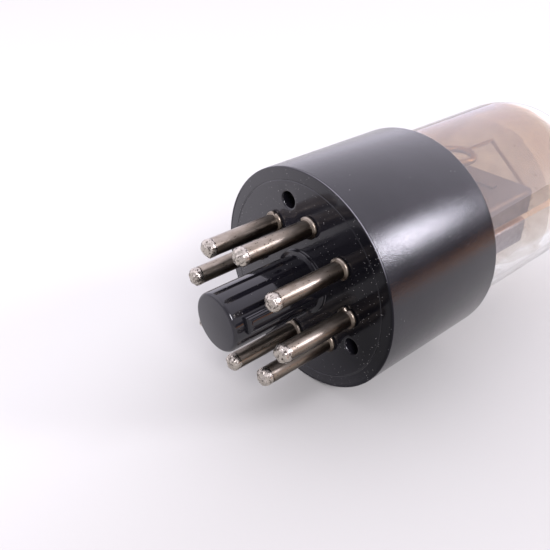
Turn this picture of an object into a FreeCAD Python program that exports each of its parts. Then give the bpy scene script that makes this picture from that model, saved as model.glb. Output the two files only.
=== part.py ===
"""Octal-base glass vacuum tube (twin triode), built piece by piece.

Each piece is drawn standing on the tube's axis: local Z runs from the pins to the
dome of the glass, local X points at the locating ridge of the key post, and Z = 0 is
the flat face that seats on a socket.  One common placement then lays the tube on its
side, so that in the finished part +X is the tube's axis and +Z is up.
"""
import FreeCAD, Part
import Sketcher
import math
import os
import re

DIMENSIONS = {
    # moulded base
    "shell_dia": 31.5, "shell_height": 21.3, "shell_wall": 1.5, "shell_floor": 2.6,
    "shell_edge": 0.4, "rim_edge": 0.4, "ring_dia": 28.2, "ring_width": 0.4, "ring_depth": 0.15,
    "post_dia": 7.9, "post_length": 14.4, "post_bore": 5.2, "post_end": 1.9, "post_edge": 0.45,
    "post_collar_dia": 9.0, "post_collar_height": 0.5,
    "ridge_reach": 4.8, "ridge_width": 2.2, "ridge_length": 12.7, "ridge_edge": 0.5,
    "vent_dia": 2.2, "vent_far": 11.3, "vent_near": 10.9, "vent_far_angle": 270.0, "vent_near_angle": 45.0,
    # pins
    "pin_count": 8.0, "pin_circle": 17.45, "pin_dia": 2.36, "pin_bore": 1.5, "pin_reach": 11.1,
    "collar_dia": 3.1, "collar_thick": 0.5, "swage_dia": 3.2, "swage_thick": 0.45,
    "solder_height": 0.75, "solder_depth": 2.5,
    # glass
    "bulb_dia": 27.8, "bulb_wall": 0.9, "bulb_top": 58.0, "dome_corner": 11.0, "dome_crown": 16.0,
    "seal_dia": 22.0, "seal_low": 5.8, "cement_low": 9.0, "cement_high": 15.5,
    "flare_thick": 1.0, "stem_dia": 13.2, "stem_wall": 0.9, "stem_shoulder": 10.2, "stem_roof": 12.0,
    "press_width": 13.4, "press_thick": 3.0, "press_top": 16.8,
    "tubulation_dia": 3.0, "tubulation_wall": 0.55, "tubulation_low": -9.8,
    # electrode cage
    "mica_dia": 25.2, "mica_thick": 0.3, "low_mica": 20.2, "high_mica": 38.9,
    "tooth_count": 8.0, "tooth_width": 2.6, "tooth_reach": 12.9,
    "unit_offset": 2.55, "anode_width": 18.6, "anode_depth": 4.4, "anode_wall": 0.3, "anode_corner": 0.7,
    "rib_height": 0.35, "rib_width": 1.2, "rib_span": 11.0,
    "anode_rod_dia": 1.1, "rod_low": 18.4, "rod_high": 40.4,
    "cathode_dia": 0.84, "cathode_bore": 0.6, "cathode_low": 19.2, "cathode_high": 39.9,
    "heater_wire": 0.2, "heater_gap": 0.28, "heater_high": 38.0, "link_thick": 0.2,
    "grid_rod_dia": 1.0, "grid_rod_offset": 2.6, "grid_wire": 0.14, "grid_low": 22.2, "grid_high": 37.2,
    "grid_turns": 16.0,
    "lead_dia": 0.5, "lead_pitch": 1.05, "lead_inner": 1.95, "tab_reach": 1.8, "tab_width": 0.8, "tab_thick": 0.15,
    # getter
    "getter_ring_dia": 5.6, "getter_wire": 1.0, "getter_height": 31.0, "getter_out": 9.2,
    "getter_support_dia": 0.6,
    "film_thick": 0.06, "film_height": 24.0, "film_out": 18.0, "film_reach": 22.5,
    # how the tube lies, and how the cage is turned in it
    "key_turn": 165.0, "cage_turn": 15.0,
}

SHEET = "Dimensions"

doc = FreeCAD.newDocument("VacuumTube")
sheet = doc.addObject("Spreadsheet::Sheet", SHEET)
for row_number, (alias, number) in enumerate(DIMENSIONS.items(), start=1):
    sheet.set(f"A{row_number}", alias.replace("_", " "))
    sheet.set(f"B{row_number}", str(number))
    sheet.setAlias(f"B{row_number}", alias)
doc.recompute()


def dim(alias):
    """The current value of one driving dimension."""
    return float(sheet.get(alias))


def bind(thing, prop, formula):
    """Bind a property to the sheet; names of driving dimensions in the formula are expanded."""
    def expand(match):
        word = match.group(0)
        return f"{SHEET}.{word}" if word in DIMENSIONS else word
    thing.setExpression(prop, re.sub(r"[a-z_]+", expand, formula))


# ------------------------------------------------------------------ placement

def tube_placement():
    """Local Z to +X, local X (the ridge) to key_turn degrees from +Y towards +Z."""
    turn = math.radians(dim("key_turn"))
    along_ridge = FreeCAD.Vector(0, math.cos(turn), math.sin(turn))
    across_ridge = FreeCAD.Vector(0, -math.sin(turn), math.cos(turn))
    axis = FreeCAD.Vector(1, 0, 0)
    return FreeCAD.Placement(FreeCAD.Vector(0, 0, 0), FreeCAD.Rotation(along_ridge, across_ridge, axis))


def turned(degrees):
    """A turn about the tube's own axis."""
    return FreeCAD.Placement(FreeCAD.Vector(0, 0, 0), FreeCAD.Rotation(FreeCAD.Vector(0, 0, 1), degrees))


def round_axis(radius, degrees):
    """The point at a radius and an angle from the ridge, on the seating face."""
    angle = math.radians(degrees)
    return FreeCAD.Vector(radius * math.cos(angle), radius * math.sin(angle), 0)


TUBE = tube_placement()
CAGE = TUBE.multiply(turned(dim("cage_turn")))
nodes = []


def finish(thing, name, placement=TUBE):
    """Give a sub-part its name and its place in the tube, and list it."""
    thing.Label = name
    thing.Placement = placement
    nodes.append(thing)
    return thing


# ------------------------------------------------------------------ building blocks

def new_body(name):
    return doc.addObject("PartDesign::Body", name)


def body_plane(body, role):
    return [feature for feature in body.Origin.OriginFeatures if feature.Role == role][0]


def solid_step(body, kind, name, sizes, x="0", y="0", z="0"):
    """One additive or subtractive PartDesign primitive, with its sizes and its place bound."""
    step = body.newObject(f"PartDesign::{kind}", name)
    for prop, formula in sizes.items():
        bind(step, prop, formula)
    bind(step, "Placement.Base.x", x)
    bind(step, "Placement.Base.y", y)
    bind(step, "Placement.Base.z", z)
    doc.recompute()
    return step


def circle_sketch(body, name, radius, x="0", y="0"):
    """A sketch of one circle on the body's XY plane, with its radius and centre bound."""
    sketch = body.newObject("Sketcher::SketchObject", name)
    sketch.AttachmentSupport = (body_plane(body, "XY_Plane"), [""])
    sketch.MapMode = "FlatFace"
    sketch.addGeometry(Part.Circle(FreeCAD.Vector(1, 1, 0), FreeCAD.Vector(0, 0, 1), 1.0))
    sketch.addConstraint(Sketcher.Constraint("Radius", 0, 1.0))
    bind(sketch, "Constraints[0]", radius)
    if x == "0" and y == "0":
        sketch.addConstraint(Sketcher.Constraint("Coincident", 0, 3, -1, 1))
    else:
        sketch.addConstraint(Sketcher.Constraint("DistanceX", -1, 1, 0, 3, 1.0))
        bind(sketch, "Constraints[1]", x)
        sketch.addConstraint(Sketcher.Constraint("DistanceY", -1, 1, 0, 3, 1.0))
        bind(sketch, "Constraints[2]", y)
    doc.recompute()
    return sketch


def pad(body, name, sketch, length):
    step = body.newObject("PartDesign::Pad", name)
    step.Profile = sketch
    bind(step, "Length", length)
    doc.recompute()
    return step


def round_edges(body, name, base, radius, chosen):
    """Fillet the edges of a feature for which chosen(edge) is true."""
    edges = [f"Edge{i}" for i, edge in enumerate(base.Shape.Edges, start=1) if chosen(edge)]
    step = body.newObject("PartDesign::Fillet", name)
    step.Base = (base, edges)
    bind(step, "Radius", radius)
    doc.recompute()
    return step


def circle_at(radius, height, tolerance=0.02):
    """A test for a full circular edge about the tube's axis, at a radius and a height."""
    def test(edge):
        curve = edge.Curve
        if not isinstance(curve, Part.Circle):
            return False
        centred = math.hypot(curve.Center.x, curve.Center.y) < tolerance
        return centred and abs(curve.Radius - radius) < tolerance and abs(curve.Center.z - height) < tolerance
    return test


def plain_feature(name, shape, placement=TUBE):
    """A sub-part whose shape comes from an outline or a path that no primitive gives."""
    feature = doc.addObject("Part::Feature", name)
    feature.Shape = shape
    return finish(feature, name, placement)


def revolved(points_and_arcs):
    """Turn a closed outline in the XZ plane about the tube's axis."""
    face = Part.Face(Part.Wire(points_and_arcs))
    return face.revolve(FreeCAD.Vector(0, 0, 0), FreeCAD.Vector(0, 0, 1), 360)


def at(radius, height):
    return FreeCAD.Vector(radius, 0, height)


def line(start, end):
    return Part.LineSegment(start, end).toShape()


def arc(start, middle, end):
    return Part.Arc(start, middle, end).toShape()


def wire_along(points, diameter):
    """A round wire through a list of points, with a ball at each bend."""
    radius = diameter / 2
    runs = []
    for start, end in zip(points, points[1:]):
        along = end - start
        runs.append(Part.makeCylinder(radius, along.Length, start, along))
    balls = [Part.makeSphere(radius, bend) for bend in points[1:-1]]
    return runs[0].multiFuse(runs[1:] + balls).removeSplitter()


# ------------------------------------------------------------------ moulded base

def build_base_shell():
    """Black moulded cup: skirt, floor, hollow key post with its ridge, pin and vent holes."""
    body = new_body("base_shell")
    outline = circle_sketch(body, "skirt_outline", "shell_dia / 2")
    block = pad(body, "skirt_block", outline, "shell_height")
    block = round_edges(body, "face_edge", block, "shell_edge", circle_at(dim("shell_dia") / 2, 0))
    solid_step(body, "AdditiveCylinder", "key_post",
               {"Radius": "post_dia / 2", "Height": "post_length"}, z="0 - post_length")
    solid_step(body, "AdditiveCylinder", "post_collar",
               {"Radius": "post_collar_dia / 2", "Height": "post_collar_height"}, z="0 - post_collar_height")
    ridge = add_key_ridge(body)
    post_end = circle_at(dim("post_dia") / 2, -dim("post_length"))
    round_edges(body, "post_end_edge", ridge, "post_edge", post_end)
    solid_step(body, "SubtractiveCylinder", "cavity",
               {"Radius": "shell_dia / 2 - shell_wall", "Height": "shell_height"}, z="shell_floor")
    solid_step(body, "SubtractiveCylinder", "post_hollow",
               {"Radius": "post_bore / 2", "Height": "post_length + shell_floor"}, z="post_end - post_length")
    vents = {"near_vent": ("vent_near", "vent_near_angle"), "far_vent": ("vent_far", "vent_far_angle")}
    for name, (reach, angle) in vents.items():
        solid_step(body, "SubtractiveCylinder", name, {"Radius": "vent_dia / 2", "Height": "shell_floor * 2"},
                   x=f"{reach} * cos({angle} * 1deg)", y=f"{reach} * sin({angle} * 1deg)",
                   z="0 - shell_floor / 2")
    cut_face_ring(body)
    last = cut_pin_holes(body)
    rim = circle_at(dim("shell_dia") / 2, dim("shell_height"))
    last = round_edges(body, "rim_outer_edge", last, "rim_edge", rim)
    body.Tip = last
    finish(body, "base_shell")


def add_key_ridge(body):
    """The locating ridge: a flat-sided rib with its two long edges rounded."""
    core = {"Length": "ridge_reach", "Width": "ridge_width - 2 * ridge_edge", "Height": "ridge_length"}
    flanks = {"Length": "ridge_reach - ridge_edge", "Width": "ridge_width", "Height": "ridge_length"}
    solid_step(body, "AdditiveBox", "ridge_core", core, y="ridge_edge - ridge_width / 2", z="0 - ridge_length")
    last = solid_step(body, "AdditiveBox", "ridge_flanks", flanks, y="0 - ridge_width / 2", z="0 - ridge_length")
    for side, name in ((-1, "ridge_left_edge"), (1, "ridge_right_edge")):
        last = solid_step(body, "AdditiveCylinder", name, {"Radius": "ridge_edge", "Height": "ridge_length"},
                          x="ridge_reach - ridge_edge", y=f"{side} * (ridge_width / 2 - ridge_edge)",
                          z="0 - ridge_length")
    return last


def cut_face_ring(body):
    """The shallow turned ring near the edge of the seating face."""
    sketch = body.newObject("Sketcher::SketchObject", "face_ring_outline")
    sketch.AttachmentSupport = (body_plane(body, "XY_Plane"), [""])
    sketch.MapMode = "FlatFace"
    for index, radius in enumerate(("ring_dia / 2", "ring_dia / 2 - ring_width")):
        sketch.addGeometry(Part.Circle(FreeCAD.Vector(0, 0, 0), FreeCAD.Vector(0, 0, 1), 14 - index))
        sketch.addConstraint(Sketcher.Constraint("Coincident", index, 3, -1, 1))
        sketch.addConstraint(Sketcher.Constraint("Radius", index, 14 - index))
        bind(sketch, f"Constraints[{2 * index + 1}]", radius)
    doc.recompute()
    ring = body.newObject("PartDesign::Pocket", "face_ring")
    ring.Profile = sketch
    ring.Reversed = True
    bind(ring, "Length", "ring_depth")
    doc.recompute()


def cut_pin_holes(body):
    """One pin hole, patterned eight times round the axis."""
    half_step = 180 / dim("pin_count")
    outline = circle_sketch(body, "pin_hole_outline", "pin_dia / 2",
                            x=f"pin_circle / 2 * cos({half_step}deg)",
                            y=f"pin_circle / 2 * sin({half_step}deg)")
    hole = body.newObject("PartDesign::Pocket", "pin_hole")
    hole.Profile = outline
    hole.Type = "ThroughAll"
    hole.Midplane = True
    doc.recompute()
    ring = body.newObject("PartDesign::PolarPattern", "pin_holes")
    ring.Originals = [hole]
    ring.Axis = (body_plane(body, "Z_Axis"), [""])
    ring.Angle = 360
    bind(ring, "Occurrences", "pin_count")
    body.Tip = ring
    doc.recompute()
    return ring


def pin_angle(number):
    """Pins are counted from the ridge; the first stands half a step from it."""
    step = 360 / dim("pin_count")
    return step * (number - 0.5)


def build_pin(number):
    """Hollow plated pin: sleeve, collar against the face, and the swaged flange inside."""
    body = new_body(f"pin_{number}")
    sleeve = circle_sketch(body, f"pin_{number}_outline", "pin_dia / 2")
    pad(body, f"pin_{number}_sleeve", sleeve, "pin_reach + shell_floor + swage_thick")
    solid_step(body, "AdditiveCylinder", f"pin_{number}_collar",
               {"Radius": "collar_dia / 2", "Height": "collar_thick"}, z="pin_reach - collar_thick")
    solid_step(body, "AdditiveCylinder", f"pin_{number}_swage",
               {"Radius": "swage_dia / 2", "Height": "swage_thick"}, z="pin_reach + shell_floor")
    bore = solid_step(body, "SubtractiveCylinder", f"pin_{number}_bore",
                      {"Radius": "pin_bore / 2", "Height": "pin_reach + shell_floor + swage_thick"})
    body.Tip = bore
    foot = round_axis(dim("pin_circle") / 2, pin_angle(number))
    foot.z = -dim("pin_reach")
    finish(body, f"pin_{number}", TUBE.multiply(FreeCAD.Placement(foot, FreeCAD.Rotation())))


def build_solder_tips():
    """A plug of solder in the end of each pin, with a rounded blob outside it."""
    reach = dim("pin_reach")
    blob = dim("pin_dia") / 2 - 0.04
    height = dim("solder_height")
    ball = (blob ** 2 + height ** 2) / (2 * height)
    plug = Part.makeCylinder(dim("pin_bore") / 2, dim("solder_depth"), FreeCAD.Vector(0, 0, -reach))
    below = Part.makeBox(4, 4, 4, FreeCAD.Vector(-2, -2, -reach - 4))
    drop = Part.makeSphere(ball, FreeCAD.Vector(0, 0, ball - height - reach)).common(below)
    tip = plug.fuse(drop).removeSplitter()
    tips = []
    for number in range(1, int(dim("pin_count")) + 1):
        placed = tip.copy()
        placed.translate(round_axis(dim("pin_circle") / 2, pin_angle(number)))
        tips.append(placed)
    plain_feature("solder_tips", Part.makeCompound(tips))


# ------------------------------------------------------------------ glass

def dome_outline(inset):
    """Right-hand half of the bulb's dome, inset from the outside: arc points from wall to crown."""
    radius = dim("bulb_dia") / 2
    corner = dim("dome_corner")
    crown = dim("dome_crown")
    reach = radius - corner
    rise = math.sqrt((crown - corner) ** 2 - reach ** 2)
    crown_centre = dim("bulb_top") - crown
    corner_centre = crown_centre + rise
    lean = math.atan2(rise, reach)
    knee = corner - inset
    cap = crown - inset

    def on_corner(angle):
        return at(reach + knee * math.cos(angle), corner_centre + knee * math.sin(angle))

    def on_crown(angle):
        return at(cap * math.cos(angle), crown_centre + cap * math.sin(angle))

    quarter = math.pi / 2
    return {
        "wall": on_corner(0), "knee": on_corner(lean / 2), "shoulder": on_corner(lean),
        "brow": on_crown((lean + quarter) / 2), "top": at(0, crown_centre + cap),
    }


def bulb_solid(inset, low_radius, low):
    """The bulb as a filled solid, inset from its outside, with its rounded lower end."""
    dome = dome_outline(inset)
    wall = dim("bulb_dia") / 2 - inset
    turn_in = wall - low_radius
    bend = turn_in * (1 - math.sqrt(0.5))
    lower = [
        line(at(0, low), at(low_radius, low)),
        arc(at(low_radius, low), at(wall - bend, low + bend), at(wall, low + turn_in)),
    ]
    upper = [
        line(at(wall, low + turn_in), dome["wall"]),
        arc(dome["wall"], dome["knee"], dome["shoulder"]),
        arc(dome["shoulder"], dome["brow"], dome["top"]),
        line(dome["top"], at(0, low)),
    ]
    return revolved(lower + upper)


def build_bulb():
    """Thin glass envelope, open at its lower end where the stem's flare is sealed in."""
    wall = dim("bulb_wall")
    opening = dim("seal_dia") / 2
    low = dim("seal_low")
    outside = bulb_solid(0, opening + 0.4, low)
    inside = bulb_solid(wall, opening, low + dim("flare_thick"))
    mouth = Part.makeCylinder(opening, dim("flare_thick") * 3, FreeCAD.Vector(0, 0, low - 1))
    plain_feature("bulb", outside.cut(inside).cut(mouth).removeSplitter())
    return outside


def build_base_cement(bulb_outside):
    """Ring of hard brown cement that holds the glass in the base."""
    low = dim("cement_low")
    height = dim("cement_high") - low
    reach = dim("shell_dia") / 2 - dim("shell_wall")
    ring = Part.makeCylinder(reach, height, FreeCAD.Vector(0, 0, low))
    hollow = Part.makeCylinder(dim("seal_dia") / 2, height, FreeCAD.Vector(0, 0, low))
    plain_feature("base_cement", ring.cut(hollow).cut(bulb_outside))


def press_positions():
    """Places of the eight leads along the press: four each side of the pumping tube."""
    half_count = int(dim("pin_count")) // 2
    outward = [dim("lead_inner") + index * dim("lead_pitch") for index in range(half_count)]
    return [-place for place in reversed(outward)] + outward


def press_blade(low, high):
    """A flat blade of glass with round ends."""
    half = dim("press_thick") / 2
    reach = dim("press_width") / 2 - half
    slab = Part.makeBox(2 * reach, 2 * half, high - low, FreeCAD.Vector(-reach, -half, low))
    ends = [Part.makeCylinder(half, high - low, FreeCAD.Vector(side * reach, 0, low)) for side in (-1, 1)]
    return slab.multiFuse(ends).removeSplitter()


def build_glass_stem():
    """Glass stem: flare sealed to the bulb, neck, and the pressed blade that holds the leads."""
    low = dim("seal_low")
    rim = dim("seal_dia") / 2
    thick = dim("flare_thick")
    outer = dim("stem_dia") / 2
    inner = outer - dim("stem_wall")
    lip = rim - 0.6
    shoulder = dim("stem_shoulder")
    roof = dim("stem_roof")
    bend = 0.3
    under = at(inner + (lip - inner) * bend, low + (shoulder - low) * bend)
    over = at(outer + (rim - outer) * bend, low + thick + (shoulder - low) * bend)
    outline = [
        line(at(0, roof - thick), at(inner, roof - thick)),
        line(at(inner, roof - thick), at(inner, shoulder)),
        arc(at(inner, shoulder), under, at(lip, low)),
        line(at(lip, low), at(rim, low)),
        line(at(rim, low), at(rim, low + thick)),
        arc(at(rim, low + thick), over, at(outer, shoulder + thick)),
        line(at(outer, shoulder + thick), at(outer, roof)),
        line(at(outer, roof), at(0, roof)),
        line(at(0, roof), at(0, roof - thick)),
    ]
    stem = revolved(outline).fuse(press_blade(roof - thick / 2, dim("press_top")))
    for place in press_positions():
        foot = FreeCAD.Vector(place, 0, shoulder)
        stem = stem.cut(Part.makeCylinder(dim("lead_dia") / 2, dim("press_top"), foot))
    plain_feature("glass_stem", stem.removeSplitter(), CAGE)


def build_exhaust_tube():
    """The pumping tube, sealed off in a rounded tip inside the hollow key post."""
    outer = dim("tubulation_dia") / 2
    inner = outer - dim("tubulation_wall")
    high = dim("stem_roof") - dim("flare_thick")
    low = dim("tubulation_low")
    slope = math.sqrt(0.5)
    outline = [
        line(at(outer, high), at(outer, low + outer)),
        arc(at(outer, low + outer), at(outer * slope, low + outer * (1 - slope)), at(0, low)),
        line(at(0, low), at(0, low + outer)),
        arc(at(0, low + outer), at(inner * slope, low + outer + inner * (1 - slope)),
            at(inner, low + outer + inner)),
        line(at(inner, low + outer + inner), at(inner, high)),
        line(at(inner, high), at(outer, high)),
    ]
    plain_feature("exhaust_tube", revolved(outline))


# ------------------------------------------------------------------ electrode cage

def anode_rod_offset():
    """The rods stand in the anode's two ends, against the wall."""
    return dim("anode_width") / 2 - dim("anode_wall") - dim("anode_rod_dia") / 2


def rod_places():
    """Every post that goes through the micas: its place in the cage, and its diameter."""
    posts = []
    for side in (-1, 1):
        middle = side * dim("unit_offset")
        posts.append((0, middle, dim("cathode_dia")))
        for end in (-1, 1):
            posts.append((end * anode_rod_offset(), middle, dim("anode_rod_dia")))
            posts.append((end * dim("grid_rod_offset"), middle, dim("grid_rod_dia")))
    return posts


def getter_post():
    """Where the getter's support goes through the upper mica, and its diameter."""
    return (0, -dim("getter_out"), dim("getter_support_dia"))


def build_mica(name, height, posts):
    """Stamped mica disc: teeth that grip the glass, and a hole for every post."""
    thick = dim("mica_thick")
    disc = Part.makeCylinder(dim("mica_dia") / 2, thick)
    half = dim("tooth_width") / 2
    step = 360 / dim("tooth_count")
    for index in range(int(dim("tooth_count"))):
        tooth = Part.makeBox(dim("tooth_reach"), 2 * half, thick, FreeCAD.Vector(0, -half, 0))
        tooth.rotate(FreeCAD.Vector(0, 0, 0), FreeCAD.Vector(0, 0, 1), step * (index + 0.5))
        disc = disc.fuse(tooth)
    disc = disc.common(Part.makeCylinder(dim("tooth_reach"), thick))
    for x, y, diameter in posts:
        disc = disc.cut(Part.makeCylinder(diameter / 2, thick, FreeCAD.Vector(x, y, 0)))
    disc.translate(FreeCAD.Vector(0, 0, height))
    plain_feature(name, disc.removeSplitter(), CAGE)


def build_anode(number, side):
    """Flat sheet-metal box, open at both ends, with pressed ribs on its outer face."""
    low = dim("low_mica") + dim("mica_thick")
    body = new_body(f"anode_{number}")
    sizes = {"Length": "anode_width", "Width": "anode_depth", "Height": "high_mica - low_mica - mica_thick"}
    block = solid_step(body, "AdditiveBox", f"anode_{number}_block", sizes,
                       x="0 - anode_width / 2", y="0 - anode_depth / 2")
    block = round_edges(body, f"anode_{number}_corners", block, "anode_corner", is_upright)
    rib_faces = {1: "anode_depth / 2", -1: "0 - anode_depth / 2 - rib_height"}
    for index in (1, 2, 3):
        solid_step(body, "AdditiveBox", f"anode_{number}_rib_{index}",
                   {"Length": "rib_span", "Width": "rib_height", "Height": "rib_width"},
                   x="0 - rib_span / 2", y=rib_faces[side],
                   z=f"(high_mica - low_mica) * {index} / 4 - rib_width / 2")
    hollow = {"Length": "anode_width - 2 * anode_wall", "Width": "anode_depth - 2 * anode_wall",
              "Height": "high_mica"}
    body.Tip = solid_step(body, "SubtractiveBox", f"anode_{number}_hollow", hollow,
                          x="anode_wall - anode_width / 2", y="anode_wall - anode_depth / 2", z="-1")
    place = FreeCAD.Vector(0, side * dim("unit_offset"), low)
    finish(body, f"anode_{number}", CAGE.multiply(FreeCAD.Placement(place, FreeCAD.Rotation())))


def is_upright(edge):
    """A straight edge along the tube's axis."""
    box = edge.BoundBox
    return box.ZLength > 1 and box.XLength < 0.01 and box.YLength < 0.01


def upright(name, diameter, x, y, low, high):
    """A straight round post between two heights, as a bound cylinder."""
    post = doc.addObject("Part::Cylinder", name)
    bind(post, "Radius", f"{diameter} / 2")
    bind(post, "Height", f"{high} - {low}")
    bind(post, "Placement.Base.x", x)
    bind(post, "Placement.Base.y", y)
    bind(post, "Placement.Base.z", low)
    return post


def joined(name, pieces):
    """Several posts of one sub-part, kept together."""
    group = doc.addObject("Part::Compound", name)
    group.Links = pieces
    doc.recompute()
    return finish(group, name, CAGE)


def build_rod_pair(name, side, diameter, offset):
    """The two posts of one electrode, through both micas."""
    pieces = []
    for end, word in ((-1, "left"), (1, "right")):
        pieces.append(upright(f"{name}_{word}", diameter, f"{end} * ({offset})", f"{side} * unit_offset",
                              "rod_low", "rod_high"))
    joined(name, pieces)


def build_cathode(number, side):
    """Nickel sleeve with the heater inside it."""
    outside = upright(f"cathode_{number}_outside", "cathode_dia", "0", f"{side} * unit_offset",
                      "cathode_low", "cathode_high")
    inside = upright(f"cathode_{number}_inside", "cathode_bore", "0", f"{side} * unit_offset",
                     "cathode_low", "cathode_high")
    sleeve = doc.addObject("Part::Cut", f"cathode_{number}")
    sleeve.Base = outside
    sleeve.Tool = inside
    doc.recompute()
    finish(sleeve, f"cathode_{number}", CAGE)


def build_heater(number, side):
    """Hairpin of coated wire: two legs and the bend at the top."""
    radius = dim("heater_wire") / 2
    half_gap = dim("heater_gap") / 2
    low = dim("rod_low")
    high = dim("heater_high")
    middle = side * dim("unit_offset")
    legs = [Part.makeCylinder(radius, high - low, FreeCAD.Vector(end * half_gap, middle, low)) for end in (-1, 1)]
    centre = FreeCAD.Vector(0, middle, high)
    bend = Part.makeTorus(half_gap, radius, centre, FreeCAD.Vector(0, 1, 0), 0, 360, 360)
    above = Part.makeBox(2, 2, 2, FreeCAD.Vector(-1, middle - 1, high))
    plain_feature(f"heater_{number}", legs[0].multiFuse([legs[1], bend.common(above)]).removeSplitter(), CAGE)


def build_grid_winding(number, side):
    """Fine wire wound round the two grid posts, one turn at each step."""
    wire = dim("grid_wire") / 2
    bend = dim("grid_rod_dia") / 2 + wire
    span = dim("grid_rod_offset")
    turns = int(dim("grid_turns"))
    pitch = (dim("grid_high") - dim("grid_low")) / (turns - 1)
    along = FreeCAD.Vector(1, 0, 0)
    up = FreeCAD.Vector(0, 0, 1)
    runs = [Part.makeCylinder(wire, 2 * span, FreeCAD.Vector(-span, edge * bend, 0), along) for edge in (-1, 1)]
    for end in (-1, 1):
        half_turn = Part.makeTorus(bend, wire, FreeCAD.Vector(0, 0, 0), up, 0, 360, 180)
        half_turn.rotate(FreeCAD.Vector(0, 0, 0), up, -90 * end)
        half_turn.translate(along * (end * span))
        runs.append(half_turn)
    turn = runs[0].multiFuse(runs[1:]).removeSplitter()
    coils = []
    for index in range(turns):
        coil = turn.copy()
        coil.translate(FreeCAD.Vector(0, side * dim("unit_offset"), dim("grid_low") + index * pitch))
        coils.append(coil)
    plain_feature(f"grid_{number}_winding", Part.makeCompound(coils), CAGE)


def build_cathode_tabs():
    """A short ribbon from each cathode to its lead."""
    pieces = []
    for side in (-1, 1):
        name = "cathode_tab_" + ("lower" if side < 0 else "upper")
        ribbon = doc.addObject("Part::Box", name + "_ribbon")
        bind(ribbon, "Length", "tab_reach")
        bind(ribbon, "Width", "tab_width")
        bind(ribbon, "Height", "tab_thick")
        bind(ribbon, "Placement.Base.x", "0 - tab_reach" if side > 0 else "0")
        bind(ribbon, "Placement.Base.y", f"{side} * unit_offset - tab_width / 2")
        bind(ribbon, "Placement.Base.z", "cathode_low")
        sleeve = upright(name + "_clearance", "cathode_dia", "0", f"{side} * unit_offset", "0", "cathode_high")
        tab = doc.addObject("Part::Cut", name)
        tab.Base = ribbon
        tab.Tool = sleeve
        pieces.append(tab)
    joined("cathode_tabs", pieces)


def build_heater_links():
    """Two bars that join the heaters' legs, one for each end of the hairpins."""
    pieces = []
    for side, word in ((-1, "left"), (1, "right")):
        bar = doc.addObject("Part::Box", f"heater_link_{word}")
        bind(bar, "Length", "link_thick")
        bind(bar, "Width", "2 * unit_offset + link_thick")
        bind(bar, "Height", "link_thick")
        bind(bar, "Placement.Base.x", f"{side} * heater_gap / 2 - link_thick / 2")
        bind(bar, "Placement.Base.y", "0 - unit_offset - link_thick / 2")
        bind(bar, "Placement.Base.z", "rod_low - link_thick")
        pieces.append(bar)
    joined("heater_links", pieces)


# ------------------------------------------------------------------ leads

def lead_tops():
    """Where each lead ends in the cage, from one end of the press to the other."""
    unit = dim("unit_offset")
    rod = dim("rod_low")
    link = rod - dim("link_thick")
    tab = dim("tab_reach") - dim("lead_dia")
    grid = dim("grid_rod_offset")
    heater = dim("heater_gap") / 2
    half = [
        FreeCAD.Vector(-anode_rod_offset(), -unit, rod),
        FreeCAD.Vector(-grid, -unit, rod),
        FreeCAD.Vector(-tab, unit, dim("cathode_low")),
        FreeCAD.Vector(-heater, -unit / 2, link),
    ]
    other_half = [FreeCAD.Vector(-top.x, -top.y, top.z) for top in reversed(half)]
    return half + other_half


def pin_foot(number):
    """A pin's place, seen in the cage's own directions."""
    return round_axis(dim("pin_circle") / 2, pin_angle(number) - dim("cage_turn"))


def build_leads():
    """One wire per pin: up the pin, across the base, through the press and to its electrode."""
    numbers = range(1, int(dim("pin_count")) + 1)
    across = sorted(numbers, key=lambda number: pin_foot(number).x)
    bottom = dim("solder_depth") - dim("pin_reach")
    for number, place, top in zip(across, press_positions(), lead_tops()):
        foot = pin_foot(number)
        press_foot = FreeCAD.Vector(place, 0, 0)
        gathered = foot + (press_foot - foot) * 0.75
        points = [
            FreeCAD.Vector(foot.x, foot.y, bottom),
            FreeCAD.Vector(foot.x, foot.y, dim("shell_floor") + dim("swage_thick") + 0.5),
            FreeCAD.Vector(gathered.x, gathered.y, dim("seal_low") + 0.8),
            FreeCAD.Vector(place, 0, dim("stem_shoulder")),
            FreeCAD.Vector(place, 0, dim("press_top") + 0.3),
            FreeCAD.Vector(top.x, top.y, top.z - 0.4),
            top,
        ]
        plain_feature(f"lead_{number}", wire_along(points, dim("lead_dia")), CAGE)


# ------------------------------------------------------------------ getter

def build_getter_ring():
    """The ring that carried the getter: beside the upper anode, facing the glass."""
    ring = doc.addObject("Part::Torus", "getter_ring")
    bind(ring, "Radius1", "getter_ring_dia / 2")
    bind(ring, "Radius2", "getter_wire / 2")
    doc.recompute()
    centre = FreeCAD.Vector(0, -dim("getter_out"), dim("getter_height"))
    outward = FreeCAD.Rotation(FreeCAD.Vector(1, 0, 0), 90)
    finish(ring, "getter_ring", CAGE.multiply(FreeCAD.Placement(centre, outward)))


def build_getter_support():
    """Wire from the getter ring up through the upper mica and across to the end of an anode post."""
    out = -dim("getter_out")
    ring_top = dim("getter_height") + (dim("getter_ring_dia") + dim("getter_wire")) / 2
    crossing = dim("rod_high") + dim("getter_support_dia") / 2
    points = [
        FreeCAD.Vector(0, out, ring_top),
        FreeCAD.Vector(0, out, crossing),
        FreeCAD.Vector(anode_rod_offset(), -dim("unit_offset"), crossing),
    ]
    plain_feature("getter_support", wire_along(points, dim("getter_support_dia")), CAGE)


def build_getter_film():
    """The thin film that the getter left inside the glass: a patch on one side, above the lower mica."""
    low = dim("low_mica") + dim("mica_thick")
    outer = bulb_above(dim("bulb_wall"), low)
    inner = bulb_above(dim("bulb_wall") + dim("film_thick"), low)
    centre = FreeCAD.Vector(0, -dim("film_out"), dim("film_height"))
    patch = Part.makeSphere(dim("film_reach"), centre)
    plain_feature("getter_film", outer.cut(inner).common(patch), CAGE)


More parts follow.
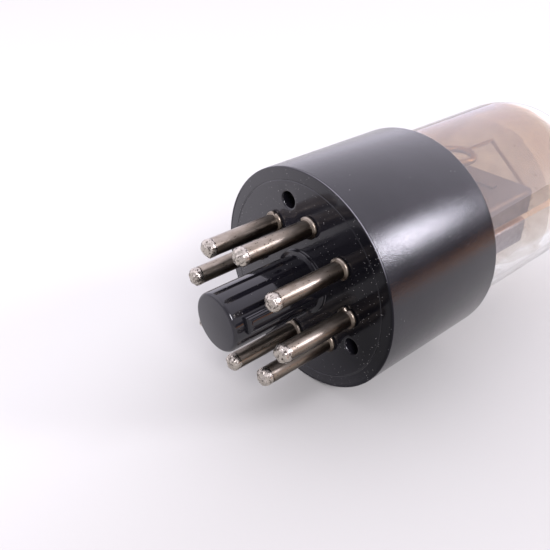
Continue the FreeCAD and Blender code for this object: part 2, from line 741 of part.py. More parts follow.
def bulb_above(inset, low):
    """The bulb above a height, as a filled solid inset from its outside."""
    whole = bulb_solid(inset, dim("seal_dia") / 2, dim("seal_low"))
    room = dim("bulb_top")
    return whole.common(Part.makeCylinder(room, room, FreeCAD.Vector(0, 0, low)))


# ------------------------------------------------------------------ the whole tube

def build_tube():
    build_base_shell()
    for number in range(1, int(dim("pin_count")) + 1):
        build_pin(number)
    build_solder_tips()
    bulb_outside = build_bulb()
    build_base_cement(bulb_outside)
    build_glass_stem()
    build_exhaust_tube()
    build_mica("lower_mica", dim("low_mica"), rod_places())
    build_mica("upper_mica", dim("high_mica"), rod_places() + [getter_post()])
    for number, side in ((1, 1), (2, -1)):
        build_anode(number, side)
        build_rod_pair(f"anode_{number}_rods", side, "anode_rod_dia",
                       "anode_width / 2 - anode_wall - anode_rod_dia / 2")
        build_rod_pair(f"grid_{number}_rods", side, "grid_rod_dia", "grid_rod_offset")
        build_grid_winding(number, side)
        build_cathode(number, side)
        build_heater(number, side)
    build_cathode_tabs()
    build_heater_links()
    build_leads()
    build_getter_ring()
    build_getter_support()
    build_getter_film()


def check_document():
    """Stop if any object failed, or any sub-part's shape is missing or broken."""
    doc.recompute()
    failed = [thing.Name for thing in doc.Objects if "Invalid" in thing.State or "Error" in thing.State]
    broken = [node.Label for node in nodes if node.Shape.isNull() or not node.Shape.isValid()]
    if failed or broken:
        raise RuntimeError(f"failed objects: {failed}; broken shapes: {broken}")


def write_parts():
    os.makedirs("parts", exist_ok=True)
    for node in nodes:
        node.Shape.exportStep(f"parts/{node.Label}.step")


build_tube()
check_document()
write_parts()
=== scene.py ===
import math
import random

import bmesh
import bpy
from mathutils import Matrix, Vector, noise


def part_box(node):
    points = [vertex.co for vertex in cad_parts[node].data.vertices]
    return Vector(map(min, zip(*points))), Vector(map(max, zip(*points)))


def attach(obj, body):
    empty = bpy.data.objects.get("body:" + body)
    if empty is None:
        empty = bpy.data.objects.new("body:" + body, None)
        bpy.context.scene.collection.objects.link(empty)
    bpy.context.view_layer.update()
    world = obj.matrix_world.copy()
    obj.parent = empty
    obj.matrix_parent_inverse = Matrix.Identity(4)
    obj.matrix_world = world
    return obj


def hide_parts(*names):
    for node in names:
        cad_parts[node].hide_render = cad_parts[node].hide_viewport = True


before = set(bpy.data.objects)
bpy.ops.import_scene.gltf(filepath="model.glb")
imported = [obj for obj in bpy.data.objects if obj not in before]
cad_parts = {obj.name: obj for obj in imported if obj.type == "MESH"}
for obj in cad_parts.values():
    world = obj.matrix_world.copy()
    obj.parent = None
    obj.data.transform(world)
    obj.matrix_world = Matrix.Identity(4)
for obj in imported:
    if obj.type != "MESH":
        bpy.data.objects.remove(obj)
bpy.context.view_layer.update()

# Octal-base vacuum tube lying on its side.  +X runs along the tube from the pins to the
# dome of the glass, +Z is up, and the seating face of the base is at X = 0.  Metres.

MM = 0.001

# ------------------------------------------------------------------ sizes from the frame


def span(node, axis):
    """Lowest and highest coordinate of a CAD node along one axis."""
    low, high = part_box(node)
    return low[axis], high[axis]


def middle(node):
    low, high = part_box(node)
    return (low + high) / 2


PIN_NUMBERS = range(1, 9)
SHELL_RADIUS = span("base_shell", 2)[1]
SHELL_LENGTH = span("base_shell", 0)[1]
POST_END = span("base_shell", 0)[0]
PIN_END = span("pin_1", 0)[0]
PIN_TOP = span("pin_1", 0)[1]
PIN_PLACES = {n: middle(f"pin_{n}") for n in PIN_NUMBERS}
TIP_END = span("solder_tips", 0)[0]
BULB_RADIUS = span("bulb", 2)[1]
BULB_TOP = span("bulb", 0)[1]
BULB_LOW = span("bulb", 0)[0]
FLOOR_HEIGHT = span("base_shell", 2)[0]

# The base's own details.
SHELL_WALL = 1.5 * MM
SHELL_FLOOR = 2.6 * MM
EDGE_ROUND = 0.25 * MM
RING_RADIUS = 14.1 * MM
RING_WIDTH = 0.24 * MM
RING_DEPTH = 0.05 * MM
RING_FLANK = 0.08 * MM
RIM_ROUND = 0.35 * MM
POST_RADIUS = 3.95 * MM
POST_BORE = 2.6 * MM
POST_WALL = 1.9 * MM
POST_EDGE = 0.45 * MM
COLLAR_RADIUS = 4.5 * MM
COLLAR_HEIGHT = 0.5 * MM
COLLAR_ROUND = 0.2 * MM
COLLAR_FOOT = 0.1 * MM
RIDGE_REACH = 4.8 * MM
RIDGE_WIDTH = 2.2 * MM
RIDGE_LENGTH = 12.7 * MM
RIDGE_BEVEL = 0.6 * MM
VENT_RADIUS = 1.1 * MM
VENT_FLARE = 0.3 * MM
VENTS = ((11.3 * MM, 270.0), (10.9 * MM, 45.0))
KEY_TURN = math.radians(165.0)
PIN_RADIUS = 1.18 * MM
PIN_FLANGE = 1.55 * MM
PIN_FLANGE_THICK = 0.62 * MM
PIN_LIP = 0.22 * MM
PIN_BORE = 0.72 * MM
PIN_BORE_DEPTH = 2.4 * MM
PIN_SWAGE_BORE = 0.75 * MM
PIN_RINGS = 24
DENT_SIZE = 1.6 * MM
DENT_DEPTH = 0.012 * MM
NICK_DEPTH = 0.38 * MM
NICK_HALF_TURN = 0.2

# The glass: its wall, the dome's two radii and the half width of its open lower end.
GLASS_WALL = 0.9 * MM
DOME_CORNER = 11.0 * MM
DOME_CROWN = 16.0 * MM
BULB_OPENING = 11.0 * MM

# The solder closing a pin: its skin over the sleeve's end, its plug inside, its lumps, and the
# uneven line that it ends in.
SOLDER_COVER = 0.55 * MM
SOLDER_SKIN = 0.04 * MM
SOLDER_UNDER = 0.03 * MM
SOLDER_SEAT = 0.02 * MM
SOLDER_PLUG = 2.3 * MM
SOLDER_PLUG_RADIUS = 0.70 * MM
SOLDER_CAP_RINGS = 22
LUMP_COARSE = 0.6 * MM
LUMP_COARSE_HEIGHT = 0.16 * MM
LUMP_FINE = 0.26 * MM
LUMP_FINE_HEIGHT = 0.06 * MM
LUMP_START = 0.25 * MM
SOLDER_FLOW = 0.42 * MM
FLOW_COARSE = 0.9 * MM
FLOW_FINE = 0.35 * MM
SEAM_WANDER = 1.1 * MM
SEAM_ON_PLATE = 0.09 * MM
SEAM_ON_SOLDER = 0.10 * MM

# The getter film: it covers the upper side of the glass from the lower mica towards the dome.
# It is denser before FILM_STEP, a limit that leans back above FILM_STEP_HEIGHT.
FILM_END = 49.0 * MM
FILM_FOOT = -1.6 * MM
FILM_STEP = 38.4 * MM
FILM_STEP_HEIGHT = 5.8 * MM
FILM_STEP_LEAN = 1.3
FILM_FULL = 12.5 * MM
FILM_THICKENS = (28 * MM, 42 * MM)
FILM_CREST = (5.0 * MM, 12.0 * MM)
FILM_FADE = 4.0 * MM
FILM_SOFT = 1.2 * MM
FILM_WANDER = 1.6 * MM
FILM_SKIN = 0.02 * MM
FILM_HALF_TURN = math.radians(100)
FILM_STEPS_ALONG = 72
FILM_STEPS_ROUND = 150
FILM_TINT = (0.77, 0.683, 0.582, 1)
FILM_MILK = (0.72, 0.72, 0.76, 1)
FILM_SHEEN = 0.115
FILM_CREST_SHEEN = 0.07

# Moulding: colours are linear.
PHENOLIC_BLACK = (0.0042, 0.004, 0.0055, 1)
PHENOLIC_WORN = (0.0075, 0.0072, 0.0095, 1)
# Painted reflection on the face: lightest on the far side, lighter at the near side's low part and
# the post's end, darkest on the rest of the near side. The last two numbers place the change from
# the far side to the near side.
FACE_PAINTED_REFLECTION_FAR = (0.0205, 0.0197, 0.0245, 1)
FACE_PAINTED_REFLECTION_NEAR = (0.0025, 0.0025, 0.0035, 1)
FACE_PAINTED_REFLECTION_LOW = (0.0125, 0.0122, 0.0155, 1)
NEAR_SIDE_REACH = 12.0 * MM
NEAR_SIDE_SLANT = 0.3
# Colour of a painted highlight along the upper near side of the face's rounded edge.
EDGE_PAINTED_HIGHLIGHT = (0.25, 0.245, 0.27, 1)
DUST_DARK = (0.08, 0.08, 0.08, 1)
DUST_PALE = (0.42, 0.4, 0.38, 1)
DUST_CELL = 0.3 * MM
DUST_RADIUS = 0.038 * MM
DUST_HEIGHT = 0.02 * MM
DUST_THICK = 0.24
DUST_THIN = 0.03
GRAIN_SIZE = 0.19 * MM
GRAIN_DEPTH = 0.027 * MM
RIPPLE_SIZE = 2.2 * MM
RIPPLE_DEPTH = 0.012 * MM

# Plating and solder.
PLATE_BRIGHT = (0.31, 0.272, 0.225, 1)
PLATE_DULL = (0.185, 0.152, 0.115, 1)
# Colour of the painted shade on the underside of a pin and towards its root.
PLATE_PAINTED_SHADE = (0.05, 0.037, 0.028, 1)
PLATE_PIT = (0.06, 0.045, 0.035, 1)
PIT_CELL = 0.3 * MM
PIT_RADIUS = 0.07 * MM
PIT_DEPTH = 0.015 * MM
PITS_NEAR_TIP = 0.5
PITS_NEAR_ROOT = 0.12
SOLDER_BRIGHT = (0.43, 0.395, 0.345, 1)
SOLDER_DARK = (0.06, 0.048, 0.04, 1)
SOLDER_SEAM = (0.06, 0.05, 0.045, 1)

# Glass and mica.
GLASS_TINT = (0.97, 0.975, 0.97, 1)
GLASS_IN_SHADOW = 0.93
MICA_DARK = (0.68, 0.58, 0.44, 1)
MICA_PALE = (0.9, 0.86, 0.77, 1)

# Stage colours.
FELT_DARK = (0.1, 0.097, 0.115, 1)
FELT_PALE = (0.13, 0.125, 0.14, 1)
# The foot's glow is painted light: it emits though it is no lamp.
WOOD = (1.0, 0.5, 0.23, 1)
FOOT_PAINTED_GLOW = (0.5, 0.2, 0.06, 1)
# Floor tones: the near one is painted shade.
FLOOR_FAR = (0.53, 0.53, 0.498, 1)
FLOOR_NEAR_PAINTED_SHADE = (0.43, 0.427, 0.398, 1)

# How many sides each turned piece has.
SHELL_SIDES = 256
VENT_SIDES = 48
PIN_SIDES = 64
SOLDER_SIDES = 56
BULB_SIDES = 192
DOME_STEPS = 28

# The camera: its place, how far it tips down from level and turns from +Y in degrees, its lens.
CAMERA_PLACE = (-50.65 * MM, -53.17 * MM, 48.35 * MM)
CAMERA_TIP = 32.865
CAMERA_TURN = -40.79
CAMERA_LENS = 42.95
CAMERA_SENSOR = 36.0

# The studio: directions are (azimuth, elevation) in degrees.  Each light has a name, a direction, a
# distance in metres, a size in metres, a brightness, a colour and a shape.
TUBE_MIDDLE = Vector((20 * MM, 0, 0))
LIGHTS = (
    ("window", (-41.8, 25.7), 1.6, (0.365, 0.47), 31.0, (1.0, 0.965, 1.1), "ELLIPSE"),
    ("softbox", (140, 45), 0.4, (0.4, 0.4), 0.7, (1.0, 0.965, 1.06), "RECTANGLE"),
    ("room_lamp", (-115, 35), 0.9, (0.34, 0.34), 22.0, (1.0, 0.965, 1.06), "ELLIPSE"),
)
ROOM_BRIGHT = (44.0, 31.0)
ROOM_DIM = (0.38, 0.365, 0.41)
ROOM_PALE = (0.88, 0.84, 0.97)
ROOM_SPREAD = (-0.45, 0.95)
ROOM_STRENGTH = 2.0
FLAG_AZIMUTH = -47.0
FLAG_TOP = 8.0
FLAG_FOOT = 10.5 * MM
FLAG_DISTANCE = 0.16
FLAG_HALF_WIDTH = 0.16
FLOOR_HALF_WIDTH = 1.2


def around_axis(radius, degrees_from_ridge):
    """A point of the seating face at a radius and an angle from the key post's ridge."""
    angle = KEY_TURN + math.radians(degrees_from_ridge)
    return Vector((0.0, radius * math.cos(angle), radius * math.sin(angle)))


# ------------------------------------------------------------------ mesh helpers

def new_object(name, mesh):
    piece = bpy.data.objects.new(name, mesh)
    bpy.context.scene.collection.objects.link(piece)
    return piece


def smooth(piece, degrees):
    """Smooth shading with edges sharper than an angle kept crisp."""
    for polygon in piece.data.polygons:
        polygon.use_smooth = True
    piece.data.set_sharp_from_angle(angle=math.radians(degrees))


def arc(cx, cr, radius, start, end, steps):
    """Points (x, r) on an arc in the lathe's half plane, angles in degrees from +X towards +r."""
    points = []
    for step in range(steps + 1):
        angle = math.radians(start + (end - start) * step / steps)
        points.append((cx + radius * math.cos(angle), cr + radius * math.sin(angle)))
    return points


def lathe(name, profile, sides, closed=True, centre=(0.0, 0.0)):
    """Turn a profile of (x, r) points about a line along X.  A point with r = 0 is a pole."""
    mesh = bpy.data.meshes.new(name)
    bm = bmesh.new()
    rings = []
    for x, r in profile:
        if r < 1e-7:
            rings.append([bm.verts.new((x, centre[0], centre[1]))])
            continue
        ring = []
        for step in range(sides):
            angle = 2 * math.pi * step / sides
            y = centre[0] + r * math.cos(angle)
            z = centre[1] + r * math.sin(angle)
            ring.append(bm.verts.new((x, y, z)))
        rings.append(ring)
    pairs = list(zip(rings, rings[1:]))
    if closed:
        pairs.append((rings[-1], rings[0]))
    for a, b in pairs:
        if len(a) == 1 and len(b) == 1:
            continue
        for step in range(sides):
            after = (step + 1) % sides
            if len(a) == 1:
                bm.faces.new((a[0], b[after], b[step]))
            elif len(b) == 1:
                bm.faces.new((a[step], a[after], b[0]))
            else:
                bm.faces.new((a[step], a[after], b[after], b[step]))
    bmesh.ops.recalc_face_normals(bm, faces=bm.faces)
    bm.to_mesh(mesh)
    bm.free()
    return new_object(name, mesh)


def boxed(name, low, high):
    """A plain block between two corners, to be shaped and joined to another piece."""
    mesh = bpy.data.meshes.new(name)
    bm = bmesh.new()
    bmesh.ops.create_cube(bm, size=1.0)
    for vert in bm.verts:
        for axis in range(3):
            vert.co[axis] = high[axis] if vert.co[axis] > 0 else low[axis]
    bm.to_mesh(mesh)
    bm.free()
    return new_object(name, mesh)


def combine(piece, others, operation):
    """Boolean other meshes with a piece, and remove them."""
    for other in others:
        modifier = piece.modifiers.new("combine", "BOOLEAN")
        modifier.operation = operation
        modifier.solver = "EXACT"
        modifier.object = other
    depsgraph = bpy.context.evaluated_depsgraph_get()
    mesh = bpy.data.meshes.new_from_object(piece.evaluated_get(depsgraph))
    piece.modifiers.clear()
    piece.data = mesh
    for other in others:
        bpy.data.objects.remove(other)


def install(piece, node_names, material):
    """A finished piece stands for CAD nodes, rides on the one body and takes its material."""
    piece.data.materials.clear()
    piece.data.materials.append(material)
    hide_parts(*node_names)
    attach(piece, "root")


# ------------------------------------------------------------------ material helpers

class Shader:
    """A small wrapper that lays out a Principled material from nodes."""

    def __init__(self, name):
        self.material = bpy.data.materials.new(name)
        self.material.use_nodes = True
        self.tree = self.material.node_tree
        self.tree.nodes.clear()
        self.output = self.tree.nodes.new("ShaderNodeOutputMaterial")
        self.surface = self.node("BsdfPrincipled")
        self.link(self.surface, "BSDF", self.output, "Surface")
        self.coordinates = self.node("TexCoord")

    def node(self, kind, **settings):
        made = self.tree.nodes.new("ShaderNode" + kind)
        for key, value in settings.items():
            if hasattr(made, key) and key not in made.inputs:
                setattr(made, key, value)
            else:
                made.inputs[key.replace("_", " ")].default_value = value
        return made

    def link(self, source, output, target, socket):
        self.tree.links.new(source.outputs[output], target.inputs[socket])

    def set(self, **values):
        for key, value in values.items():
            self.surface.inputs[key.replace("_", " ")].default_value = value

    def place(self, scale=(1, 1, 1)):
        """Object coordinates, stretched; 1 unit is 1 metre."""
        mapping = self.node("Mapping")
        mapping.inputs["Scale"].default_value = scale
        self.link(self.coordinates, "Object", mapping, "Vector")
        return mapping

    def noise(self, size, detail=2.0, roughness=0.5, stretch=(1, 1, 1)):
        """Noise whose features are about `size` metres across."""
        made = self.node("TexNoise")
        made.inputs["Scale"].default_value = 1.0 / size
        made.inputs["Detail"].default_value = detail
        made.inputs["Roughness"].default_value = roughness
        self.link(self.place(stretch), "Vector", made, "Vector")
        return made

    def ramp(self, source, output, low, high, low_colour=(0, 0, 0, 1), high_colour=(1, 1, 1, 1)):
        """A straight ramp from one colour to another between two input values."""
        made = self.node("ValToRGB")
        made.color_ramp.elements[0].position = low
        made.color_ramp.elements[0].color = low_colour
        made.color_ramp.elements[1].position = high
        made.color_ramp.elements[1].color = high_colour
        self.link(source, output, made, "Fac")
        return made

    def mix(self, factor, a, b):
        """Mix two colours, each a colour or a (node, output) pair."""
        made = self.node("Mix", data_type="RGBA")
        self.link(factor[0], factor[1], made, 0)
        for value, socket in ((a, 6), (b, 7)):
            if isinstance(value[0], bpy.types.Node):
                self.link(value[0], value[1], made, socket)
            else:
                made.inputs[socket].default_value = value
        return made

    def mix_multiply(self, a, b, amount):
        """Darken one colour by another, by an amount."""
        made = self.node("Mix", data_type="RGBA", blend_type="MULTIPLY")
        made.inputs[0].default_value = amount
        self.link(a[0], a[1], made, 6)
        self.link(b[0], b[1], made, 7)
        return made

    def span(self, source, output, low, high):
        """0 at the first value rising to 1 at the second, and held beyond both."""
        made = self.node("MapRange", interpolation_type="SMOOTHSTEP")
        made.inputs["From Min"].default_value = low
        made.inputs["From Max"].default_value = high
        self.link(source, output, made, "Value")
        return made

    def math(self, operation, *values):
        """A sum of numbers and (node, output) pairs."""
        made = self.node("Math", operation=operation)
        for index, value in enumerate(values):
            if isinstance(value, tuple):
                self.link(value[0], value[1], made, index)
            else:
                made.inputs[index].default_value = value
        return made

    def blend(self, factor, first, second):
        """Mix two surface shaders into the material's output."""
        made = self.node("MixShader")
        self.link(factor[0], factor[1], made, 0)
        self.link(first, "BSDF", made, 1)
        self.link(second, "BSDF", made, 2)
        self.link(made, "Shader", self.output, "Surface")

    def bump(self, layers):
        """Stack bump layers of (node, output, depth in metres), fine over coarse."""
        before = None
        for source, output, depth in layers:
            made = self.node("Bump")
            made.inputs["Strength"].default_value = 1.0
            made.inputs["Distance"].default_value = depth
            self.link(source, output, made, "Height")
            if before is not None:
                self.link(before, "Normal", made, "Normal")
            before = made
        self.link(before, "Normal", self.surface, "Normal")


def grey(value):
    return (value, value, value, 1.0)


def cast_dust(shader, cell, radius, share):
    """Specks of dust: 1 inside a speck, 0 elsewhere.  `share` is a (node, output) pair, 0 to 1."""
    dust = shader.node("TexVoronoi", feature="F1")
    dust.inputs["Scale"].default_value = 1.0 / cell
    shader.link(shader.place(), "Vector", dust, "Vector")
    speck = shader.span(dust, "Distance", 1.3 * radius / cell, 0.8 * radius / cell)
    pick = shader.node("SeparateColor")
    shader.link(dust, "Color", pick, "Color")
    chosen = shader.math("LESS_THAN", (pick, "Red"), share)
    return shader.math("MULTIPLY", (speck, "Result"), (chosen, 0))


def axes(shader, output):
    """The X, Y and Z of one of the object's coordinates."""
    split = shader.node("SeparateXYZ")
    shader.link(shader.coordinates, output, split, "Vector")
    return split


def phenolic_zones(shader, turned, where):
    """Sockets that are 1 on one part of the moulding and 0 elsewhere, by name."""
    face = shader.span(turned, "X", -0.7, -0.98)
    post = shader.span(where, "X", -0.3 * MM, -0.9 * MM)
    moulded = shader.math("MAXIMUM", (face, "Result"), (post, "Result"))
    skirt = shader.math("SUBTRACT", 1.0, (moulded, 0))
    off_level = shader.math("ABSOLUTE", (where, "Z"))
    slant = shader.math("MULTIPLY_ADD", (off_level, 0), NEAR_SIDE_SLANT, (where, "Y"))
    near_side = shader.span(slant, 0, NEAR_SIDE_REACH, -NEAR_SIDE_REACH)
    return {"face": (face, "Result"), "post": (post, "Result"), "moulded": (moulded, 0),
            "skirt": (skirt, 0), "near_side": (near_side, "Result")}


def phenolic_dust(shader, where, zones):
    """Specks of dust: thick in patches on the face and the post, rare on the skirt."""
    patch = shader.noise(3.5 * MM, 2.0, 0.5)
    dusty = shader.span(patch, "Fac", 0.42, 0.62)
    thick = shader.math("MULTIPLY_ADD", zones["moulded"], DUST_THICK, DUST_THIN)
    open_side = shader.span(where, "X", POST_END, POST_END + 2 * MM)
    spread = shader.math("MULTIPLY", (thick, 0), (open_side, "Result"))
    share = shader.math("MULTIPLY", (spread, 0), (dusty, "Result"))
    return cast_dust(shader, DUST_CELL, DUST_RADIUS, (share, 0))


def phenolic_tone(shader, where, zones, cloud):
    """Colour of the moulding, with a painted reflection on the face: lightest on its far side,
    lighter at the near side's low part and the post's end, darkest on the rest of the near side.
    """
    black = shader.ramp(cloud, "Fac", 0.35, 0.75, PHENOLIC_BLACK, PHENOLIC_WORN)
    low_side = shader.span(where, "Z", -3.0 * MM, -13.0 * MM)
    post_end = shader.span(where, "X", POST_END + 1.0 * MM, POST_END)
    low_side_and_post_end = shader.math("MAXIMUM", (low_side, "Result"), (post_end, "Result"))
    near_painted_reflection = shader.mix((low_side_and_post_end, 0), FACE_PAINTED_REFLECTION_NEAR, FACE_PAINTED_REFLECTION_LOW)
    # Painted reflection: the face is painted lighter on its far side than on its near side.
    painted_reflection = shader.mix(zones["near_side"], FACE_PAINTED_REFLECTION_FAR, (near_painted_reflection, 2))
    return shader.mix(zones["face"], (black, "Color"), (painted_reflection, 2))


def phenolic_edge(shader, turned, where, zones):
    """The rounded outer edge: where a pale highlight is painted on it, and where its gloss is
    turned down.
    """
    edge_in = shader.span(turned, "X", -0.86, -0.7)
    edge_out = shader.span(turned, "X", -0.38, -0.54)
    edge = shader.math("MULTIPLY", (edge_in, "Result"), (edge_out, "Result"))
    from_axis = shader.node("VectorMath", operation="LENGTH")
    shader.link(shader.place((0, 1, 1)), "Vector", from_axis, "Vector")
    outer = shader.span(from_axis, "Value", SHELL_RADIUS - 0.6 * MM, SHELL_RADIUS - 0.3 * MM)
    high = shader.span(where, "Z", 6 * MM, 11 * MM)
    highlight_band = shader.math("MULTIPLY", (outer, "Result"), (high, "Result"))
    near_edge = shader.math("MULTIPLY", (edge, 0), zones["near_side"])
    # Painted highlight: pale on the upper near-side part of the edge.
    painted_highlight = shader.math("MULTIPLY", (near_edge, 0), (highlight_band, 0))
    rounding = shader.span(turned, "X", -0.08, -0.3)
    rim = shader.math("MULTIPLY", (rounding, "Result"), (outer, "Result"))
    below_high = shader.math("SUBTRACT", 1.0, (high, "Result"))
    dulled = shader.math("MULTIPLY", (rim, 0), (below_high, 0))
    return painted_highlight, dulled


def phenolic_material():
    """Black moulded phenolic: glossy key post, dusty face with a painted reflection, a painted
    highlight on its edge, and a duller, finely grained skirt.
    """
    shader = Shader("phenolic")
    turned = axes(shader, "Normal")
    where = axes(shader, "Object")
    zones = phenolic_zones(shader, turned, where)
    dust = phenolic_dust(shader, where, zones)
    cloud = shader.noise(4.0 * MM, 3.0, 0.55)
    tone = phenolic_tone(shader, where, zones, cloud)
    painted_highlight, dulled = phenolic_edge(shader, turned, where, zones)

    # The painted highlight laid over the edge's colour.
    highlighted_tone = shader.mix((painted_highlight, 0), (tone, 2), EDGE_PAINTED_HIGHLIGHT)
    lint = shader.noise(0.5 * MM, 1.0, 0.5)
    dust_tone = shader.ramp(lint, "Fac", 0.35, 0.65, DUST_DARK, DUST_PALE)
    colour = shader.mix((dust, 0), (highlighted_tone, 2), (dust_tone, "Color"))
    shader.link(colour, 2, shader.surface, "Base Color")

    gloss = shader.mix(zones["near_side"], grey(0.62), grey(0.14))
    level = shader.mix(zones["face"], grey(0.5), (gloss, 2))
    shine = shader.mix((dulled, 0), (level, 2), grey(0.1))
    shader.link(shine, 2, shader.surface, "Specular IOR Level")

    worn = shader.ramp(cloud, "Fac", 0.3, 0.7, grey(0.13), grey(0.175))
    polished = shader.mix(zones["post"], (worn, "Color"), grey(0.07))
    faced = shader.mix(zones["face"], (polished, 2), grey(0.11))
    rough = shader.mix((dust, 0), (faced, 2), grey(0.8))
    shader.link(rough, 2, shader.surface, "Roughness")
    shader.set(IOR=1.5)

    grain = shader.noise(GRAIN_SIZE, 2.0, 0.6)
    grained = shader.math("MULTIPLY", (grain, "Fac"), zones["skirt"])
    ripple = shader.noise(RIPPLE_SIZE, 2.0, 0.5)
    shader.bump([(ripple, "Fac", RIPPLE_DEPTH), (grained, 0, GRAIN_DEPTH), (dust, 0, DUST_HEIGHT)])
    return shader.material


def seam(shader, width):
    """1 on a thin uneven line round a pin where the sleeve meets the solder, 0 elsewhere."""
    where = axes(shader, "Object")
    drift = shader.noise(0.7 * MM, 3.0, 0.7)
    line = shader.math("MULTIPLY_ADD", (drift, "Fac"), -SEAM_WANDER, (where, "X"))
    off = shader.math("SUBTRACT", (line, 0), PIN_END - SEAM_WANDER / 2 + SOLDER_COVER)
    distance = shader.math("ABSOLUTE", (off, 0))
    line = shader.span(distance, 0, width, width * 0.4)
    gaps = shader.noise(0.9 * MM, 2.0, 0.6)
    broken = shader.span(gaps, "Fac", 0.4, 0.52)
    return shader.math("MULTIPLY", (line, "Result"), (broken, "Result"))


def pin_painted_shade(shader, where, cloud):
    """1 where shade is painted on a pin: underneath, and higher up towards its root, with a mottled
    edge.
    """
    turned = axes(shader, "Normal")
    closer = shader.span(where, "X", -7.0 * MM, -1.6 * MM)
    sleeve = shader.span(where, "X", -PIN_FLANGE_THICK, -PIN_FLANGE_THICK - 0.2 * MM)
    rooted = shader.math("MULTIPLY", (closer, "Result"), (sleeve, "Result"))
    mottled = shader.math("MULTIPLY_ADD", (cloud, "Fac"), 1.4, (turned, "Z"))
    tilt = shader.math("MULTIPLY_ADD", (rooted, 0), -0.65, (mottled, 0))
    return shader.span(tilt, 0, 1.1, 0.4)


def pin_pits(shader, where, cloud):
    """1 in the pits of the plating, which are more frequent near the tips."""
    some = shader.span(cloud, "Fac", 0.44, 0.56)
    outer = shader.span(where, "X", -3.5 * MM, -9 * MM)
    often = shader.math("MULTIPLY_ADD", (outer, "Result"), PITS_NEAR_TIP, PITS_NEAR_ROOT)
    amount = shader.math("MULTIPLY", (some, "Result"), (often, 0))
    return cast_dust(shader, PIT_CELL, PIT_RADIUS, (amount, 0))


def pin_material():
    """Worn nickel plate: fine lengthwise scratches and pits, with brown painted shade underneath
    and towards the root.
    """
    shader = Shader("pin_nickel")
    streaks = shader.noise(0.08 * MM, 2.0, 0.6, stretch=(0.05, 1, 1))
    cloud = shader.noise(1.2 * MM, 4.0, 0.62, stretch=(0.45, 1, 1))
    where = axes(shader, "Object")
    # Mask of the painted shade on the pin's underside and near its root.
    under = pin_painted_shade(shader, where, cloud)
    metal = shader.ramp(cloud, "Fac", 0.38, 0.66, PLATE_BRIGHT, PLATE_DULL)
    # Painted shade: the plating is darkened brown underneath and towards the root.
    shaded_metal = shader.mix((under, "Result"), (metal, "Color"), PLATE_PAINTED_SHADE)
    lined = shader.ramp(streaks, "Fac", 0.3, 0.62, grey(0.8), grey(1.0))
    scored = shader.mix_multiply((shaded_metal, 2), (lined, "Color"), 0.4)
    pits = pin_pits(shader, where, cloud)
    line = seam(shader, SEAM_ON_PLATE)
    hollow = shader.math("MAXIMUM", (pits, 0), (line, 0))
    colour = shader.mix((hollow, 0), (scored, 2), PLATE_PIT)
    shader.link(colour, 2, shader.surface, "Base Color")
    rough = shader.ramp(streaks, "Fac", 0.3, 0.7, grey(0.3), grey(0.38))
    rough_pit = shader.mix((hollow, 0), (rough, "Color"), grey(0.7))
    shader.link(rough_pit, 2, shader.surface, "Roughness")
    shader.set(Metallic=1.0)
    raised = shader.math("SUBTRACT", 1.0, (hollow, 0))
    shader.bump([(cloud, "Fac", 0.008 * MM), (streaks, "Fac", 0.002 * MM), (raised, 0, PIT_DEPTH)])
    return shader.material


def solder_material():
    """Old solder: bright and lumpy, dark in the hollows and along its edge."""
    shader = Shader("solder")
    lumps = shader.noise(0.5 * MM, 3.0, 0.6)
    crystals = shader.noise(0.45 * MM, 3.0, 0.6)
    metal = shader.ramp(crystals, "Fac", 0.35, 0.47, SOLDER_DARK, SOLDER_BRIGHT)
    line = seam(shader, SEAM_ON_SOLDER)
    colour = shader.mix((line, 0), (metal, "Color"), SOLDER_SEAM)
    shader.link(colour, 2, shader.surface, "Base Color")
    rough = shader.ramp(crystals, "Fac", 0.35, 0.65, grey(0.4), grey(0.2))
    shader.link(rough, "Color", shader.surface, "Roughness")
    shader.set(Metallic=1.0)
    shader.bump([(lumps, "Fac", 0.06 * MM), (crystals, "Fac", 0.02 * MM)])
    return shader.material


def glass_material():
    """Clear blown glass with faint waviness; lets light through to the cage."""
    shader = Shader("blown_glass")
    wave = shader.noise(9.0 * MM, 1.0, 0.4)
    shader.set(Base_Color=GLASS_TINT, Roughness=0.0, IOR=1.47, Transmission_Weight=1.0)
    shader.bump([(wave, "Fac", 0.03 * MM)])
    light = shader.node("LightPath")
    clear = shader.node("BsdfTransparent", Color=grey(GLASS_IN_SHADOW))
    through = shader.math("MAXIMUM", (light, "Is Shadow Ray"), (light, "Is Diffuse Ray"))
    shader.blend((through, 0), shader.surface, clear)
    return shader.material


def metal_material(name, colour, dark, roughness, metallic=1.0):
    """Sheet or wire metal, or at metallic=0 a fired coat or cement, with fine mottling."""
    shader = Shader(name)
    mottle = shader.noise(0.8 * MM, 4.0, 0.6)
    fine = shader.noise(0.09 * MM, 2.0, 0.5)
    tone = shader.ramp(mottle, "Fac", 0.35, 0.68, (*dark, 1), (*colour, 1))
    shader.link(tone, "Color", shader.surface, "Base Color")
    rough = shader.ramp(fine, "Fac", 0.3, 0.7, grey(roughness * 0.85), grey(roughness * 1.2))
    shader.link(rough, "Color", shader.surface, "Roughness")
    shader.set(Metallic=metallic)
    shader.bump([(mottle, "Fac", 0.01 * MM), (fine, "Fac", 0.003 * MM)])
    return shader.material


def mica_material():
    """Thin mica: amber, flaky and half clear."""
    shader = Shader("mica")
    flakes = shader.noise(1.8 * MM, 4.0, 0.65)
    tone = shader.ramp(flakes, "Fac", 0.35, 0.68, MICA_DARK, MICA_PALE)
    shader.link(tone, "Color", shader.surface, "Base Color")
    clear = shader.ramp(flakes, "Fac", 0.3, 0.7, grey(0.4), grey(0.2))
    shader.link(clear, "Color", shader.surface, "Alpha")
    shader.set(Roughness=0.25, IOR=1.58)
    shader.bump([(flakes, "Fac", 0.02 * MM)])
    return shader.material


